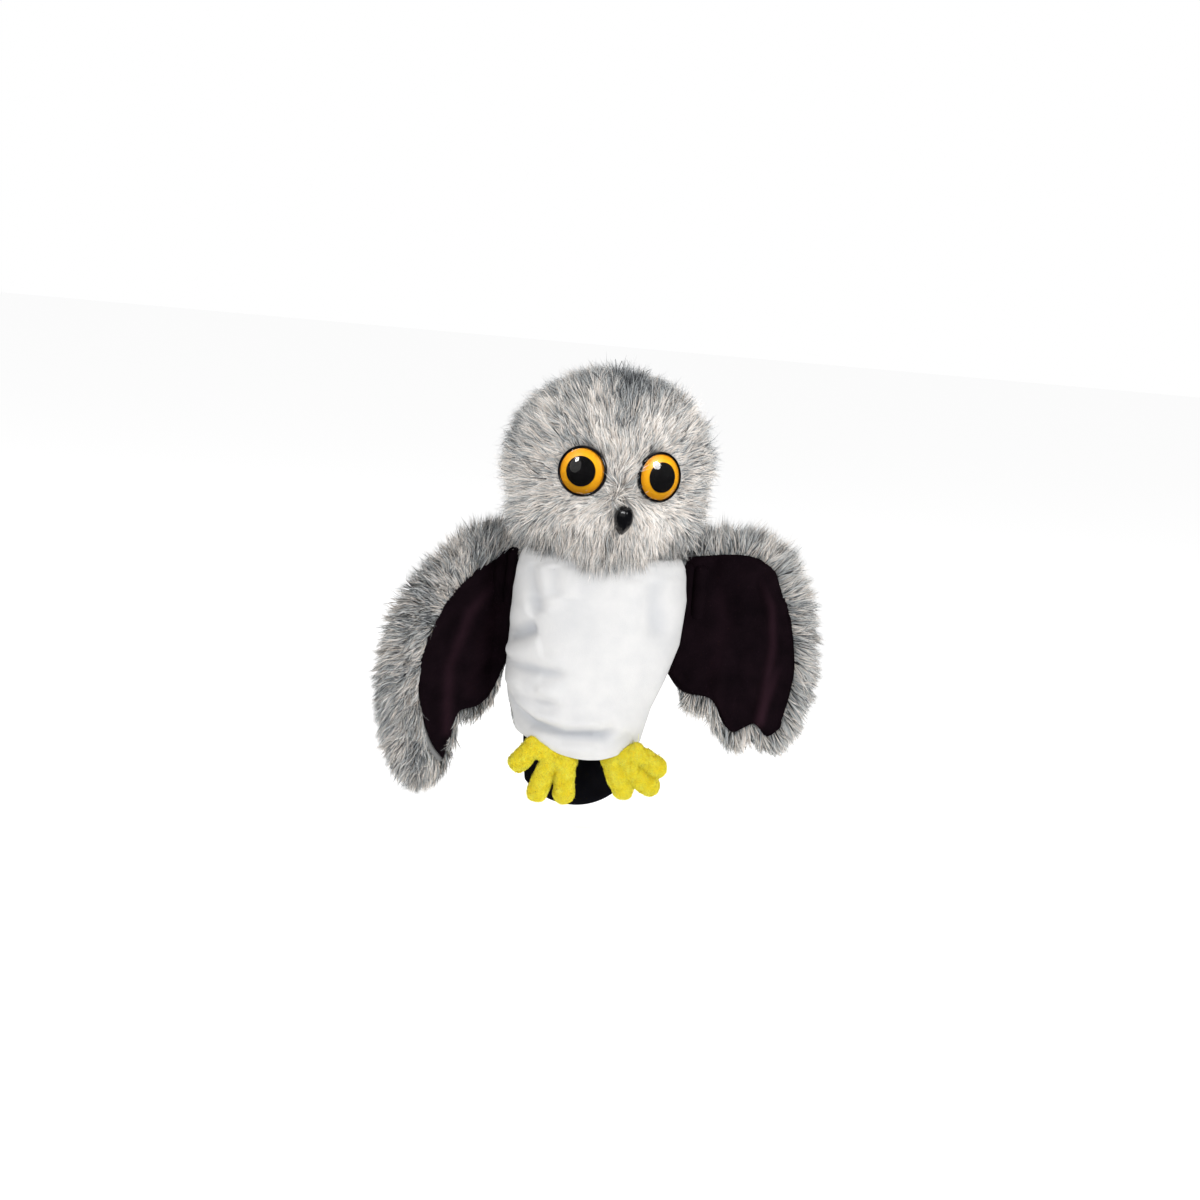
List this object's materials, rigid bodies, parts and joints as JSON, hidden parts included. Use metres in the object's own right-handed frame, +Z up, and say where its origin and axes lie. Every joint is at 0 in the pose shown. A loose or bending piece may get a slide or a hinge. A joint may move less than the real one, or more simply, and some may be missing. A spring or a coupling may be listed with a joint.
{
  "type": "owl glove puppet",
  "caption": "Plush owl glove puppet with long grey fur, white front, black-lined wings, amber eyes and yellow feet.",
  "frame": {"origin": "centre of the hand opening, level with the lowest point of the front hem", "axes": "+Z up towards the head, -Y the way the belly faces, +X to the right of someone facing the puppet"},
  "size_m": [0.2599, 0.1183, 0.276],
  "materials": {
    "grey_fur": "matte",
    "white_velboa": "matte",
    "black_velour": "matte",
    "yellow_plush": "matte",
    "stuffing": "matte",
    "amber_plastic": "gloss",
    "black_plastic": "gloss",
    "clear_plastic": "gloss",
    "washer_plastic": "satin"
  },
  "bodies": {
    "torso": {"belly_panel": "white_velboa", "back_panel": "grey_fur", "lining_front": "black_velour", "lining_back": "black_velour"},
    "neck_turn": {"neck_collar": "grey_fur"},
    "neck_nod": {"neck_lining": "black_velour"},
    "head": {"head_stuffing": "stuffing", "finger_sleeve": "black_velour", "head_fur_back": "grey_fur", "head_fur_chin": "grey_fur", "head_fur_crown": "grey_fur", "head_fur_left": "grey_fur", "head_fur_right": "grey_fur", "eye_left_backing": "black_plastic", "eye_left_iris": "amber_plastic", "eye_left_pupil": "black_plastic", "eye_left_dome": "clear_plastic", "eye_left_washer": "washer_plastic", "eye_right_backing": "black_plastic", "eye_right_iris": "amber_plastic", "eye_right_pupil": "black_plastic", "eye_right_dome": "clear_plastic", "eye_right_washer": "washer_plastic", "beak": "black_plastic", "beak_washer": "washer_plastic"},
    "wing_left_root": {"wing_left_seam_roll": "stuffing", "wing_left_seam_fur": "grey_fur", "wing_left_seam_lining": "black_velour"},
    "wing_left": {"wing_left_lining": "black_velour", "wing_left_padding": "stuffing", "wing_left_fur": "grey_fur"},
    "foot_left": {"foot_left_upper": "yellow_plush", "foot_left_sole": "yellow_plush", "foot_left_stuffing": "stuffing"},
    "wing_right_root": {"wing_right_seam_roll": "stuffing", "wing_right_seam_fur": "grey_fur", "wing_right_seam_lining": "black_velour"},
    "wing_right": {"wing_right_lining": "black_velour", "wing_right_padding": "stuffing", "wing_right_fur": "grey_fur"},
    "foot_right": {"foot_right_upper": "yellow_plush", "foot_right_sole": "yellow_plush", "foot_right_stuffing": "stuffing"},
    "tail": {"tail_front": "black_velour", "tail_back": "black_velour", "tail_padding": "stuffing"}
  },
  "joints": [
    {"name": "head_turn", "type": "hinge", "parent": "torso", "child": "neck_turn", "pos_m": [0, 0, 0.122], "axis": [0, 0, 1], "range_deg": [-53.5, 36.5]},
    {"name": "head_nod", "type": "hinge", "parent": "neck_turn", "child": "neck_nod", "pos_m": [0, 0, 0.122], "axis": [0.989, 0.1478, 0], "range_deg": [-15, 15]},
    {"name": "head_tilt", "type": "hinge", "parent": "neck_nod", "child": "head", "pos_m": [0, 0, 0.122], "axis": [-0.1478, 0.989, 0], "range_deg": [-10, 10]},
    {"name": "wing_left_clap", "type": "hinge", "parent": "torso", "child": "wing_left_root", "pos_m": [-0.0635, 0.008, 0.111], "axis": [0, 0, 1], "range_deg": [-53, 20]},
    {"name": "wing_left_lift", "type": "hinge", "parent": "wing_left_root", "child": "wing_left", "pos_m": [-0.07453, -0.00062, 0.125], "axis": [-0.6157, 0.788, 0], "range_deg": [-3, 58]},
    {"name": "wing_right_clap", "type": "hinge", "parent": "torso", "child": "wing_right_root", "pos_m": [0.0635, 0.008, 0.111], "axis": [0, 0, -1], "range_deg": [-15, 58]},
    {"name": "wing_right_lift", "type": "hinge", "parent": "wing_right_root", "child": "wing_right", "pos_m": [0.0775, 0.008, 0.125], "axis": [0, -1, 0], "range_deg": [-3, 50]},
    {"name": "foot_left_swing", "type": "hinge", "parent": "torso", "child": "foot_left", "pos_m": [-0.02269, -0.01952, -0.00376], "axis": [-0.9387, 0, 0.3448], "range_deg": [-10, 60]},
    {"name": "foot_right_swing", "type": "hinge", "parent": "torso", "child": "foot_right", "pos_m": [0.02553, -0.01598, -0.00265], "axis": [-0.9217, 0, -0.3879], "range_deg": [-10, 60]},
    {"name": "tail_swing", "type": "hinge", "parent": "torso", "child": "tail", "pos_m": [-0.006, 0.022, 0.0095], "axis": [1, 0, 0], "range_deg": [-15, 50]}
  ]
}
